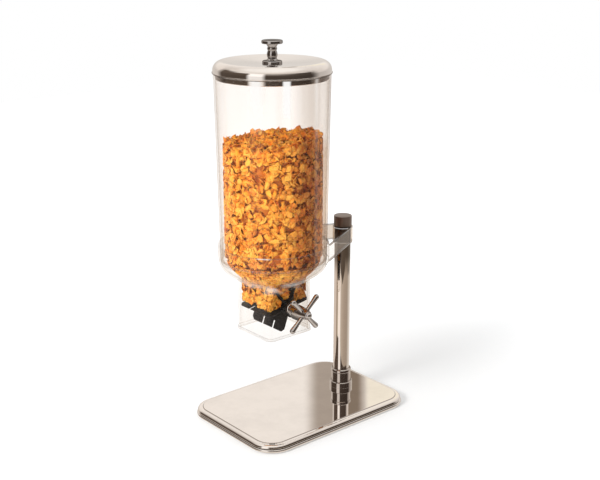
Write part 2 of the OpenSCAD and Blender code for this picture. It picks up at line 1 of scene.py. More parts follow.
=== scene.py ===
"""Looks of the cereal dispenser: materials for the CAD parts, loose cereal flakes, studio and camera."""
import json
import math
import random

import bpy
import numpy as np
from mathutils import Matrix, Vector


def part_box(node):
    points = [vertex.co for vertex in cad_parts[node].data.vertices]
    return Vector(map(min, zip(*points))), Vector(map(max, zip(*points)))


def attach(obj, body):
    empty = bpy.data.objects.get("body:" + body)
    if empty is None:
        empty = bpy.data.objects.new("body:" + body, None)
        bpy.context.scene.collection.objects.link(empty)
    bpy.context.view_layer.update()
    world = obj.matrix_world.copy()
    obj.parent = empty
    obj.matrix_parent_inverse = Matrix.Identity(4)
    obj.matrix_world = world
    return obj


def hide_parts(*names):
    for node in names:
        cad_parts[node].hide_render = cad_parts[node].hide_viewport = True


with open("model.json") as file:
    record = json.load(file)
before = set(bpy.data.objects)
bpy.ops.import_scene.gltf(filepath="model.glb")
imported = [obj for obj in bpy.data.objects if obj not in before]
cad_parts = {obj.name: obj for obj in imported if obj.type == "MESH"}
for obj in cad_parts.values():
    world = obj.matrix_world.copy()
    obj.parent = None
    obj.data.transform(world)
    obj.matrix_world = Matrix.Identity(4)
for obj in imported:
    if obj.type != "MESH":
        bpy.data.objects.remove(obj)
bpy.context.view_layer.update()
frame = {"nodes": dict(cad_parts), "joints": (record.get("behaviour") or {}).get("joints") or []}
nodes = frame["nodes"]

MM = 0.001

# ---------------------------------------------------------------- places, from the frame

container_low, container_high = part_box("container")
column_low, column_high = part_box("cereal_column")
throat_low, throat_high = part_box("cereal_throat")
pockets_low, pockets_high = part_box("cereal_pockets")
wheel_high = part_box("wheel_vanes")[1]
wheel_joint = next(j for j in frame["joints"] if j["name"] == "wheel_turn")

AXIS = np.array([(container_low.x + container_high.x) / 2, (container_low.y + container_high.y) / 2])
WHEEL = np.array(wheel_joint["pos_m"])
WHEEL_R = wheel_high.y - WHEEL[1]
CONTAINER_R = (container_high.x - container_low.x) / 2
ARMS_Y = container_high.y
ARMS_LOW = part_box("bracket_bush")[0].z
CUP_RIM_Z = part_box("hopper")[1].z
TRAY_TOP_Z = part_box("base_tray")[1].z
LID_LOW_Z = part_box("lid_shell")[0].z
NECK_Z = container_low.z - 22.3 * MM        # where the hopper's shoulder meets the square neck
POST_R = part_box("post_tube")[1].x
POST_Y = (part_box("post_tube")[0].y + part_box("post_tube")[1].y) / 2

# The photo's view: the camera stands to the right of the front, looking slightly down.
CAM_AZIMUTH = math.radians(49.8)
CAM_TILT = math.radians(16.94)
CAM_DISTANCE = 1.4962
CAM_HEIGHT = 0.7429
CAM_SIDE_SHIFT = 0.039
CAM_LENS = 63.54
CAM_SENSOR = 36

FILL_LIGHT = 0.72
KEY_POWER = 34
KEY_SIZE = 0.8
OVERHEAD_POWER = 7
OVERHEAD_SIZE = 1.6
LIGHTS_AIM_Z = 0.3
FLOOR_HALF = 3.0

TO_CAMERA = Vector((math.sin(CAM_AZIMUTH), -math.cos(CAM_AZIMUTH), 0))
CAM_RIGHT = Vector((math.cos(CAM_AZIMUTH), math.sin(CAM_AZIMUTH), 0))


# ---------------------------------------------------------------- node trees

class Shader:
    """A node tree with short calls for adding and joining nodes."""

    def __init__(self, name, world=False):
        maker = bpy.data.worlds if world else bpy.data.materials
        self.block = maker.new(name)
        self.block.use_nodes = True
        self.tree = self.block.node_tree
        self.tree.nodes.clear()
        kind = "ShaderNodeOutputWorld" if world else "ShaderNodeOutputMaterial"
        self.output = self.tree.nodes.new(kind)

    def add(self, kind, inputs=None, **settings):
        """Adds a node; an input value that is a socket is linked, anything else is set."""
        node = self.tree.nodes.new("ShaderNode" + kind)
        for key, value in settings.items():
            setattr(node, key, value)
        for key, value in (inputs or {}).items():
            if isinstance(value, bpy.types.NodeSocket):
                self.tree.links.new(value, node.inputs[key])
            else:
                node.inputs[key].default_value = value
        return node

    def math(self, operation, a, b=0.0, c=0.0, clamp=False):
        node = self.add("Math", {0: a, 1: b, 2: c}, operation=operation, use_clamp=clamp)
        return node.outputs[0]

    def mix(self, factor, a, b, blend="MIX"):
        node = self.add("Mix", {0: factor, 6: a, 7: b}, data_type="RGBA", blend_type=blend)
        return node.outputs[2]

    def step(self, value, low, high, to_low=0.0, to_high=1.0):
        """Smooth step of a value between two edges."""
        node = self.add("MapRange", {0: value, 1: low, 2: high, 3: to_low, 4: to_high},
                        interpolation_type="SMOOTHSTEP")
        return node.outputs[0]

    def noise(self, scale, detail=3.0, roughness=0.5, stretch=(1, 1, 1), distortion=0.0):
        """Noise in the object's own metres, stretched along the axes where asked."""
        place = self.add("Mapping", {0: self.add("TexCoord").outputs["Object"], "Scale": stretch})
        node = self.add("TexNoise", {"Vector": place.outputs[0], "Scale": scale, "Detail": detail,
                                     "Roughness": roughness, "Distortion": distortion})
        return node.outputs[0]

    def ramp(self, value, stops):
        """Colour ramp with any number of stops."""
        node = self.add("ValToRGB", {0: value})
        elements = node.color_ramp.elements
        for k, (position, shade) in enumerate(stops):
            stop = elements[k] if k < len(elements) else elements.new(position)
            stop.position, stop.color = position, colour(*shade)
        return node.outputs[0]

    def place(self):
        """The three coordinates of a point, as the parts stand at rest."""
        return self.add("SeparateXYZ", {0: self.add("TexCoord").outputs["Object"]}).outputs

    def band(self, value, start, end, soft):
        """One between two edges, falling to nothing over a soft width."""
        rise = self.step(value, start - soft, start + soft)
        return self.math("MULTIPLY", rise, self.step(value, end - soft, end + soft, 1.0, 0.0))

    def across(self):
        """How far a point lies to the camera's right of the hopper's axis, as a share of its radius."""
        place = self.add("VectorMath", {0: self.add("TexCoord").outputs["Object"],
                                        1: CAM_RIGHT}, operation="DOT_PRODUCT").outputs["Value"]
        centre = AXIS[0] * CAM_RIGHT.x + AXIS[1] * CAM_RIGHT.y
        return self.math("DIVIDE", self.math("SUBTRACT", place, centre), CONTAINER_R)

    def bump(self, height, strength, distance, normal=None):
        inputs = {"Height": height, "Strength": strength, "Distance": distance}
        if normal is not None:
            inputs["Normal"] = normal
        return self.add("Bump", inputs).outputs[0]

    def rounded(self, radius):
        """Normal softened over edges, as tumbled and moulded edges are."""
        return self.add("Bevel", {"Radius": radius}, samples=4).outputs[0]

    def principled(self, **inputs):
        named = {key.replace("_", " "): value for key, value in inputs.items()}
        node = self.add("BsdfPrincipled", named)
        return node.outputs[0]

    def close(self, shader):
        self.tree.links.new(shader, self.output.inputs[0])
        return self.block


def colour(r, g, b):
    return (r, g, b, 1.0)


# ---------------------------------------------------------------- materials

def polished_steel(name, tint, roughness, grain=(1, 1, 1), rim=(1, 1, 1), shaded=None):
    """Mirror-polished steel with faint smears and hairlines; a mask may paint shade onto part of it, and
    a dark rim tint paints its reflections darker at glancing angles.
    """
    s = Shader(name)
    smear = s.noise(28, 5, 0.6)
    hair = s.noise(900, 2, 0.5, grain)
    dull = tuple(0.93 * c for c in tint)
    base = s.mix(s.step(smear, 0.35, 0.75), colour(*tint), colour(*dull))
    if shaded:
        mask, shade = shaded
        base = s.mix(mask(s), base, colour(*shade))
    rough = s.math("MULTIPLY_ADD", s.step(smear, 0.4, 0.8), 0.5 * roughness, roughness)
    rough = s.math("MULTIPLY_ADD", hair, 0.5 * roughness, rough)
    normal = s.bump(hair, 0.02, 0.02 * MM, s.rounded(0.35 * MM))
    return s.close(s.principled(Base_Color=base, Metallic=1.0, Roughness=rough, Normal=normal,
                                Specular_Tint=colour(*rim)))


def tray_step_painted_shade(s):
    """Painted shade: darkens the steel along the short fall between the tray's flat and its shoulder."""
    return s.band(s.place()[2], TRAY_TOP_Z - 0.88 * MM, TRAY_TOP_Z - 0.06 * MM, 0.05 * MM)


def lid_lip_painted_shadow(s):
    """Painted shadow: darkens the lid's lip towards its left and right ends, where the gap under it lies
    in shade.
    """
    side = s.step(s.math("ABSOLUTE", s.across()), 0.70, 0.84)
    return s.math("MULTIPLY", side, s.step(s.place()[2], LID_LOW_Z + 1.9 * MM, LID_LOW_Z + 1.2 * MM))


def under_arms_painted_shade(s):
    """Painted shade and reflection: the top of the post is darkened as in the arms' shade, with a
    painted dark reflection running down it in a tapering streak and a dark band along its right side.
    """
    height = s.place()[2]
    along = s.add("VectorMath", {0: s.add("TexCoord").outputs["Object"], 1: CAM_RIGHT},
                  operation="DOT_PRODUCT").outputs["Value"]
    centre = POST_Y * CAM_RIGHT.y
    across = s.math("DIVIDE", s.math("SUBTRACT", along, centre), POST_R)
    shade = s.step(height, ARMS_LOW - 58 * MM, ARMS_LOW - 18 * MM)
    taper = s.step(height, ARMS_LOW - 72 * MM, ARMS_LOW - 36 * MM)
    width = s.math("MULTIPLY", taper, 0.30)
    off = s.math("SUBTRACT", s.math("ABSOLUTE", s.math("SUBTRACT", across, 0.02)), width)
    streak = s.math("MULTIPLY", s.step(off, 0.05, -0.05), s.step(taper, 0.02, 0.10))
    rim = s.math("MULTIPLY", s.band(across, 0.62, 0.86, 0.06),
                 s.step(height, ARMS_LOW - 58 * MM, ARMS_LOW - 44 * MM, 0.0, 0.7))
    return s.math("MAXIMUM", shade, s.math("MAXIMUM", streak, rim))


def brushed_steel(name, tint, roughness, grain):
    """Steel with a brushed grain along one axis."""
    s = Shader(name)
    grain_noise = s.noise(500, 4, 0.7, grain)
    dark = tuple(0.75 * c for c in tint)
    base = s.mix(grain_noise, colour(*dark), colour(*tint))
    rough = s.math("MULTIPLY_ADD", grain_noise, 0.25, roughness)
    normal = s.bump(grain_noise, 0.15, 0.05 * MM, s.rounded(0.3 * MM))
    return s.close(s.principled(Base_Color=base, Metallic=1.0, Roughness=rough, Normal=normal))


def dark_metal(name):
    """Dark painted metal knob with a fine turned texture."""
    s = Shader(name)
    speck = s.noise(1400, 3, 0.6)
    rings = s.noise(260, 2, 0.4, (0.1, 0.1, 8))
    base = s.mix(s.step(speck, 0.3, 0.8), colour(0.165, 0.122, 0.100), colour(0.235, 0.180, 0.150))
    rough = s.math("MULTIPLY_ADD", rings, 0.15, 0.30)
    normal = s.bump(speck, 0.06, 0.05 * MM, s.rounded(0.8 * MM))
    return s.close(s.principled(Base_Color=base, Metallic=0.75, Roughness=rough, Normal=normal,
                                Coat_Weight=0.25, Coat_Roughness=0.25))


def clear_plastic(name, body_tint, edge_tint, line_tint, line_w, haze, painted_glare=None, rail_strength=0,
                  wall=None):
    """Clear moulded plastic: a warm tint, painted edge shade in dark lines along its edges and at
    glancing angles, painted shade towards the camera's right, a shine at glancing angles, and where
    given a painted reflection that glows.
    """
    s = Shader(name)
    geometry = s.add("NewGeometry")
    ripple = s.noise(14, 2, 0.5, (1, 1, 0.35))
    streak = s.noise(70, 3, 0.6, (1, 1, 0.03))
    smudge = s.noise(60, 5, 0.65)
    soft = s.rounded(line_w)
    turn = s.add("VectorMath", {0: soft, 1: geometry.outputs["Normal"]},
                 operation="DOT_PRODUCT").outputs["Value"]
    corner = s.step(turn, 0.997, 0.86)
    normal = s.bump(ripple, 0.10, 1.5 * MM, soft)
    facing = s.add("VectorMath", {0: geometry.outputs["Incoming"], 1: normal},
                   operation="DOT_PRODUCT").outputs["Value"]
    grazing = s.math("SUBTRACT", 1.0, s.math("ABSOLUTE", facing), clamp=True)
    fresnel = s.math("MULTIPLY_ADD", s.math("POWER", grazing, 4.5), 0.70, 0.012)
    fresnel = s.math("MULTIPLY_ADD", s.step(turn, 0.88, 0.74), 0.25, fresnel)
    # painted shade: darker towards the camera's right of the axis, easing off at the very edge, with
    # faint random streaks
    shade = s.step(s.across(), 0.25, 0.68, 0.0, 0.36)
    shade = s.math("ADD", shade, s.step(s.across(), 0.74, 0.88, 0.0, -0.22))
    shade = s.math("ADD", shade, s.step(streak, 0.45, 0.70, 0.0, 0.08))
    through = s.mix(shade, colour(*body_tint), colour(*edge_tint))
    # painted edge shade at glancing angles, paler towards the camera's left
    pale_edge = tuple((1 + c) / 2 for c in edge_tint)
    edge = s.mix(s.step(s.across(), -0.3, 0.3), colour(*pale_edge), colour(*edge_tint))
    through = s.mix(s.math("POWER", grazing, 5.0), through, edge)
    # painted refraction and edge shade on the wall, where given
    if wall:
        through = wall(s, through)
    # painted edge shade: dark lines along the edges, stronger on the thicker mouldings above the chute;
    # the arms behind get a darker body
    thick = s.step(s.place()[2], NECK_Z, NECK_Z + 22 * MM, 0.45, 1.0)
    _, behind, height = s.place()
    through = s.mix(s.step(behind, ARMS_Y, ARMS_Y + 4 * MM), through, colour(0.78, 0.72, 0.66))
    # painted edge shade: dark lines along the arms' lower and upper edges
    rails = s.math("ADD", s.band(height, ARMS_LOW, ARMS_LOW + 1.8 * MM, 0.2 * MM),
                   s.step(height, CUP_RIM_Z - 2.0 * MM, CUP_RIM_Z - 1.5 * MM))
    rails = s.math("MULTIPLY", rails, s.step(behind, 0, 6 * MM, 0.0, rail_strength), clamp=True)
    through = s.mix(rails, through, colour(0.30, 0.25, 0.215))
    through = s.mix(s.math("MULTIPLY", corner, thick), through, colour(*line_tint))
    clear = s.add("BsdfTransparent", {"Color": through}).outputs[0]
    rough = s.math("MULTIPLY_ADD", s.step(smudge, 0.45, 0.8), 0.06, 0.03)
    gloss = s.add("BsdfGlossy", {"Color": colour(1, 0.985, 0.97), "Roughness": rough,
                                 "Normal": normal}).outputs[0]
    milky = s.add("BsdfDiffuse", {"Color": colour(0.93, 0.90, 0.87)}).outputs[0]
    body = s.add("MixShader", {0: s.math("MULTIPLY", smudge, haze), 1: clear, 2: milky}).outputs[0]
    shaded = s.add("MixShader", {0: fresnel, 1: body, 2: gloss}).outputs[0]
    if painted_glare is None:
        return s.close(shaded)
    # a painted reflection: white glow, seen near the photo's viewing direction only, as a window's
    # reflection is
    front, sight = (s.add("VectorMath", {0: geometry.outputs[way], 1: TO_CAMERA},
                          operation="DOT_PRODUCT").outputs["Value"] for way in ("Normal", "Incoming"))
    window = s.math("MULTIPLY", s.step(front, 0.2, 0.5), s.step(sight, 0.86, 0.93))
    window = s.math("MULTIPLY", painted_glare(s), window)
    white = s.add("Emission", {0: colour(1.0, 0.99, 0.975), 1: 1.0}).outputs[0]
    return s.close(s.add("MixShader", {0: window, 1: shaded, 2: white}).outputs[0])


def container_wall_painted_shade(s, through):
    """Painted refraction and edge shade: the wall at the right is browned beside the cereal, whose
    colour it bends, and outlined with a painted dark line.
    """
    beside = s.math("MULTIPLY", s.step(s.across(), 0.80, 0.90),
                    s.step(s.place()[2], column_high.z + 2 * MM, column_high.z - 14 * MM))
    through = s.mix(beside, through, colour(0.885, 0.82, 0.76))
    return s.mix(s.step(s.across(), 0.955, 0.975), through, colour(0.76, 0.72, 0.70))


def container_painted_reflection(s):
    """Painted reflections: two pale window reflections under the lid, left and right of the middle, and
    a faint one towards the right edge.
    """
    height = s.math("SUBTRACT", s.place()[2], LID_LOW_Z)
    left = s.math("MULTIPLY", s.band(s.across(), -0.33, -0.16, 0.05),
                  s.step(height, -79 * MM, -6 * MM, 0.0, 0.55))
    right = s.math("MULTIPLY", s.band(s.across(), 0.20, 0.31, 0.025),
                   s.step(height, -54 * MM, -42 * MM))
    faint = s.math("MULTIPLY", s.band(s.across(), 0.72, 0.76, 0.03),
                   s.step(height, -104 * MM, -14 * MM, 0.03, 0.22))
    return s.math("ADD", s.math("MULTIPLY_ADD", right, 0.75, left), faint, clamp=True)


def hopper_painted_highlight(s):
    """Painted highlights: shine on the cup's rim, along the arms' edges, and where the shoulder runs
    into the chute.
    """
    _, behind, height = s.place()
    rim = s.math("MULTIPLY", s.band(height, CUP_RIM_Z - 1.1 * MM, CUP_RIM_Z - 0.3 * MM, 0.6 * MM),
                 s.band(s.across(), -0.26, -0.04, 0.05))
    edges = s.math("ADD", s.band(height, ARMS_LOW + 0.6 * MM, ARMS_LOW + 1.5 * MM, 0.3 * MM),
                   s.band(height, CUP_RIM_Z - 1.3 * MM, CUP_RIM_Z - 0.5 * MM, 0.3 * MM))
    edges = s.math("MULTIPLY", edges, s.step(behind, ARMS_Y, 2 * ARMS_Y))
    waves = s.noise(45, 3, 0.6, (1, 1, 2.5))
    neck = s.math("MULTIPLY", s.band(height, NECK_Z - 18 * MM, NECK_Z, 7 * MM),
                  s.step(waves, 0.42, 0.66))
    shine = s.math("MULTIPLY_ADD", neck, 0.30, s.math("MULTIPLY", rim, 0.8))
    return s.math("MULTIPLY_ADD", edges, 0.55, shine, clamp=True)


def rubber(name, tone, sheen):
    """Matt black rubber with moulding mottle and dust."""
    s = Shader(name)
    mottle = s.noise(350, 5, 0.65)
    dust = s.noise(45, 4, 0.7)
    base = s.mix(s.step(dust, 0.45, 0.85), colour(*tone), colour(*(c + 0.008 for c in tone)))
    rough = s.math("MULTIPLY_ADD", mottle, 0.25, 0.38)
    normal = s.bump(mottle, 0.25, 0.15 * MM, s.rounded(0.4 * MM))
    return s.close(s.principled(Base_Color=base, Roughness=rough, Normal=normal,
                                Sheen_Weight=sheen, Specular_IOR_Level=0.22))


def moulded(name, tone, roughness):
    """Opaque moulded plastic or silicone with a fine satin texture."""
    s = Shader(name)
    cloud = s.noise(40, 4, 0.6)
    grain = s.noise(1600, 2, 0.5)
    dark = tuple(0.86 * c for c in tone)
    base = s.mix(cloud, colour(*tone), colour(*dark))
    rough = s.math("MULTIPLY_ADD", cloud, 0.15, roughness)
    normal = s.bump(grain, 0.12, 0.04 * MM, s.rounded(0.25 * MM))
    return s.close(s.principled(Base_Color=base, Roughness=rough, Normal=normal,
                                Subsurface_Weight=0.05, Subsurface_Radius=(MM, MM, MM)))


def toasted_flake(name):
    """Corn flake: golden, with browner rims and pale blisters; its tone varies at random, with painted
    shade deeper in the heap and towards the camera's right.
    """
    s = Shader(name)
    tone = s.add("Attribute", attribute_name="flake_tone").outputs["Fac"]
    rim = s.add("Attribute", attribute_name="flake_rim").outputs["Fac"]
    depth = s.add("Attribute", attribute_name="flake_depth").outputs["Fac"]
    blister = s.noise(380, 4, 0.7)
    patch = s.noise(150, 3, 0.6)
    toast = s.ramp(tone, [(0.0, (0.52, 0.10, 0.007)), (1.0, (1.0, 0.54, 0.080)),
                          (0.2, (0.84, 0.25, 0.014)), (0.55, (0.97, 0.38, 0.028))])
    toast = s.mix(s.step(patch, 0.45, 0.70, 0.0, 0.55), toast, colour(1.0, 0.54, 0.075))
    burnt = s.math("MULTIPLY", s.step(rim, 0.5, 1.0), s.step(patch, 0.56, 0.38))
    toast = s.mix(s.math("MULTIPLY", burnt, 0.55), toast, colour(0.50, 0.085, 0.005))
    toast = s.mix(s.step(blister, 0.58, 0.75, 0.0, 0.35), toast, colour(1.0, 0.66, 0.20))
    # painted shade: darker and redder the deeper the flake lies in the heap
    toast = s.mix(s.step(depth, 0.25, 1.0, 0.0, 0.72), toast, colour(0.42, 0.075, 0.006))
    # painted shade: flakes darker towards the camera's right, in patches, easing off at the very edge
    away = s.math("MULTIPLY", s.step(s.across(), 0.12, 0.72, 0.0, 0.64),
                  s.step(s.noise(55, 3, 0.6), 0.30, 0.62, 0.45, 1.0))
    away = s.math("MULTIPLY", away, s.step(s.across(), 0.72, 0.84, 1.0, 0.35))
    toast = s.mix(away, toast, colour(0.40, 0.075, 0.020))
    normal = s.bump(blister, 0.7, 0.9 * MM)
    return s.close(s.principled(Base_Color=toast, Roughness=0.5, Normal=normal,
                                Specular_IOR_Level=0.35, Subsurface_Weight=0.08,
                                Subsurface_Radius=(3 * MM, 1.2 * MM, 0.4 * MM)))


def paint_nodes():
    """Gives every CAD node that stays in view its own finish."""
    mirror = polished_steel("polished_steel_tray", (0.84, 0.80, 0.765), 0.014, (1, 12, 1),
                            shaded=(tray_step_painted_shade, (0.38, 0.34, 0.31)))
    spun = polished_steel("polished_steel_lid", (0.84, 0.80, 0.765), 0.045, (1, 1, 14),
                          shaded=(lid_lip_painted_shadow, (0.16, 0.125, 0.105)))
    tube = polished_steel("polished_steel_tube", (0.82, 0.77, 0.73), 0.05, (12, 12, 1),
                          shaded=(under_arms_painted_shade, (0.17, 0.145, 0.125)))
    turned = polished_steel("turned_steel", (0.53, 0.49, 0.46), 0.07, (1, 1, 16))
    # painted shade: the dark rim tint darkens the chrome's reflections at glancing angles
    chrome = polished_steel("chrome_plate", (0.54, 0.515, 0.505), 0.03, rim=(0.25, 0.24, 0.23))
    dark_chrome = polished_steel("dark_chrome", (0.45, 0.43, 0.42), 0.04, rim=(0.25, 0.24, 0.23))
    plate = polished_steel("plate_steel", (0.80, 0.76, 0.73), 0.10, (12, 1, 1))
    hardware = brushed_steel("hardware_steel", (0.62, 0.61, 0.60), 0.28, (1, 1, 10))
    black = rubber("black_rubber", (0.005, 0.0055, 0.007), 0.02)
    white = moulded("white_nylon", (0.80, 0.79, 0.76), 0.35)
    seal = moulded("seal_silicone", (0.040, 0.032, 0.029), 0.35)
    nylon = moulded("dark_nylon", (0.075, 0.052, 0.042), 0.32)
    knob = dark_metal("knob_metal")
    shell = clear_plastic("clear_container", (0.992, 0.976, 0.962), (0.78, 0.73, 0.685),
                          (0.50, 0.44, 0.385), 0.9 * MM, 0.010, container_painted_reflection,
                          wall=container_wall_painted_shade)
    cup = clear_plastic("clear_hopper", (0.990, 0.980, 0.969), (0.80, 0.76, 0.72),
                        (0.24, 0.20, 0.17), 1.4 * MM, 0.006, hopper_painted_highlight, 0.9)
    ring = clear_plastic("clear_seal", (0.97, 0.95, 0.93), (0.80, 0.77, 0.74),
                         (0.60, 0.55, 0.50), 0.5 * MM, 0.05)
    finishes = {
        mirror: ["base_tray"],
        spun: ["lid_shell", "lid_plug"],
        tube: ["post_tube"],
        turned: ["post_flange", "post_ferrule"],
        chrome: ["handle_hub", "handle_spokes", "handle_end_cap"],
        dark_chrome: ["lid_knob"],
        plate: ["base_plate"],
        hardware: ["base_screws", "post_stiffener", "post_spigot", "tie_rod", "tie_washer",
                   "tie_nut", "drive_shaft", "shaft_clip", "handle_grub_screw", "lid_screw",
                   "lid_washer"],
        black: ["base_gasket", "base_feet", "wheel_vanes"],
        white: ["chute_bushes", "shaft_washers"],
        seal: ["lid_gasket", "cap_washer"],
        ring: ["container_seal"],
        nylon: ["bracket_bush", "wheel_core"],
        knob: ["post_cap"],
        shell: ["container"],
        cup: ["hopper"],
    }
    for material, names in finishes.items():
        for name in names:
            mesh = nodes[name].data
            mesh.materials.clear()
            mesh.materials.append(material)


# ---------------------------------------------------------------- cereal flakes

FLAKE_SEGMENTS = 8
FLAKE_RINGS = 2


def flake_shape(rng):
    """One curled, crinkled flake of unit radius: points, rim weight of each point, and faces."""
    waves = [(k, rng.uniform(0.05, 0.17), rng.uniform(0, 2 * math.pi)) for k in (2, 3, 5)]
    folds = [(rng.uniform(0.08, 0.22), rng.uniform(1.5, 4.0), rng.uniform(0, math.pi),
              rng.uniform(0, 2 * math.pi)) for _ in range(3)]
    curl_x, curl_y, twist = rng.uniform(0.1, 0.6), rng.uniform(-0.4, 0.4), rng.uniform(-0.5, 0.5)
    narrow = rng.uniform(0.6, 0.95)
    thick = 0.07
    sheet, rims = [(0.0, 0.0)], [0.0]
    for ring in range(1, FLAKE_RINGS + 1):
        share = ring / FLAKE_RINGS
        for k in range(FLAKE_SEGMENTS):
            a = 2 * math.pi * k / FLAKE_SEGMENTS
            r = share * (1 + sum(size * math.sin(n * a + phase) for n, size, phase in waves))
            r *= 1 + share * rng.uniform(-0.12, 0.12)
            sheet.append((r * math.cos(a), narrow * r * math.sin(a)))
            rims.append(share)
    heights = []
    for x, y in sheet:
        z = curl_x * x * x + curl_y * y * y + twist * x * y + rng.uniform(-0.05, 0.05)
        z += sum(size * math.sin(rate * (x * math.cos(a) + y * math.sin(a)) + phase)
                 for size, rate, a, phase in folds)
        heights.append(z)
    points = []
    for side in (1, -1):
        for (x, y), z, rim in zip(sheet, heights, rims):
            points.append((x, y, z + side * thick * (1 - 0.6 * rim)))
    faces = []
    count = len(sheet)
    for k in range(FLAKE_SEGMENTS):
        nxt = (k + 1) % FLAKE_SEGMENTS
        faces.append((0, 1 + k, 1 + nxt))
        faces.append((count, count + 1 + nxt, count + 1 + k))
        for ring in range(FLAKE_RINGS - 1):
            i, j = 1 + ring * FLAKE_SEGMENTS + k, 1 + ring * FLAKE_SEGMENTS + nxt
            faces.append((i, i + FLAKE_SEGMENTS, j + FLAKE_SEGMENTS, j))
            faces.append((count + j, count + j + FLAKE_SEGMENTS, count + i + FLAKE_SEGMENTS,
                          count + i))
        last = 1 + (FLAKE_RINGS - 1) * FLAKE_SEGMENTS
        faces.append((last + k, count + last + k, count + last + nxt, last + nxt))
    return np.array(points), np.array(rims * 2), faces


def turn_to(direction, spin):
    """Rotation matrix whose third axis is a direction, spun about it."""
    z = direction / np.linalg.norm(direction)
    helper = np.array([0.0, 0.0, 1.0]) if abs(z[2]) < 0.9 else np.array([1.0, 0.0, 0.0])
    x = np.cross(helper, z)
    x /= np.linalg.norm(x)
    y = np.cross(z, x)
    c, s = math.cos(spin), math.sin(spin)
    return np.stack([c * x + s * y, c * y - s * x, z], axis=1)


class Heap:
    """Collects flakes and lumps into one mesh."""

    def __init__(self, seed):
        self.rng = random.Random(seed)
        self.shapes = [flake_shape(self.rng) for _ in range(16)]
        self.points, self.tones, self.rims, self.depths, self.faces = [], [], [], [], []
        self.count = 0

    def flake(self, place, direction, tilt, size, keep_inside, depth=0.0):
        """Adds a flake facing a direction, tilted at random, and moved inside its space; its depth sets
        painted shade, darker further into the heap.
        """
        rng = self.rng
        points, rims, faces = rng.choice(self.shapes)
        lean = np.array([rng.gauss(0, tilt) for _ in range(3)])
        turn = turn_to(np.asarray(direction, float) + lean, rng.uniform(0, 2 * math.pi))
        moved = points * size @ turn.T + place
        # painted shade: darker the deeper the flake's points lie below the heap's skin
        dark = np.clip(depth - (moved - place) @ np.asarray(direction, float) / DEPTH_SCALE, 0, 1)
        self.store(keep_inside(moved), rims, faces, rng.betavariate(2.4, 1.4), dark)

    def store(self, points, rims, faces, tone, depths):
        self.points.append(points)
        self.rims.append(rims)
        self.tones.append(np.full(len(points), tone))
        self.depths.append(depths)
        self.faces.extend(tuple(i + self.count for i in face) for face in faces)
        self.count += len(points)

    def lump(self, profile, centre, segments, rough):
        """Adds a solid of revolution with a rough skin, as a backing for the flakes, painted dark as
        deep shade.
        """
        rows = len(profile)
        points = []
        for r, z in profile:
            for k in range(segments):
                a = 2 * math.pi * k / segments
                push = 0 if r == 0 else self.rng.uniform(-rough, rough)
                points.append((centre[0] + (r + push) * math.cos(a),
                               centre[1] + (r + push) * math.sin(a), z + push))
        faces = [tuple(reversed(range(segments)))]
        for row in range(rows - 1):
            for k in range(segments):
                i, j = row * segments + k, row * segments + (k + 1) % segments
                faces.append((i, j, j + segments, i + segments))
        faces.append(tuple(range((rows - 1) * segments, rows * segments)))
        count = len(points)
        self.store(np.array(points), np.full(count, 0.5), faces, 0.35, np.full(count, 0.7))

    def build(self, name, body, node, material):
        """Makes the mesh, which rides on a body and stands for a CAD node."""
        mesh = bpy.data.meshes.new(name)
        mesh.from_pydata(np.concatenate(self.points).tolist(), [], self.faces)
        for key, values in (("flake_tone", self.tones), ("flake_rim", self.rims),
                            ("flake_depth", self.depths)):
            layer = mesh.attributes.new(key, "FLOAT", "POINT")
            layer.data.foreach_set("value", np.concatenate(values).astype(np.float32))
        mesh.polygons.foreach_set("use_smooth", [True] * len(mesh.polygons))
        mesh.materials.append(material)
        mesh.validate()
        piece = bpy.data.objects.new(name, mesh)
        bpy.context.scene.collection.objects.link(piece)
        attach(piece, body)
        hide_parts(node)
        return piece


def inside_tube(points, radius, low, high):
    """Pulls points inside an upright round tube and between two levels."""
    flat = points[:, :2] - AXIS
    reach = np.linalg.norm(flat, axis=1)
    scale = np.minimum(1.0, radius / np.maximum(reach, 1e-9))
    points = points.copy()
    points[:, :2] = AXIS + flat * scale[:, None]
    points[:, 2] = np.clip(points[:, 2], low, high)
    return points


FLAKE_SIZES = (5.0 * MM, 8.6 * MM)
SKIN = 8 * MM               # depth of loose flakes over a heap's rough core
COLUMN_FLAKES = 2260        # around the heap in the container
TOP_FLAKES = 580            # on that heap's top
SHOULDER_FLAKES = 620       # around the hopper's shoulder
NECK_FLAKES = 380           # behind the chute's four walls
POCKET_FLAKES = 150         # in each pocket of the wheel
DEPTH_SCALE = 8 * MM        # depth below the heap's skin at which the painted shade on flakes is darkest


def heap_level(x, y, high):
    """Height of the heap's uneven top: it lies higher on the camera's right and at the back."""
    right = (x - AXIS[0]) * CAM_RIGHT.x + (y - AXIS[1]) * CAM_RIGHT.y
    away = (x - AXIS[0]) * -TO_CAMERA.x + (y - AXIS[1]) * -TO_CAMERA.y
    reach = math.hypot(right, away)
    lumps = 2.2 * MM * math.sin(right / (11 * MM) + 1.0) * math.cos(away / (14 * MM))
    bank = 0.13 * max(0.0, right - 20 * MM)
    return high - 2.5 * MM + 0.045 * right + 0.02 * away - 0.9 * reach * reach + bank + lumps


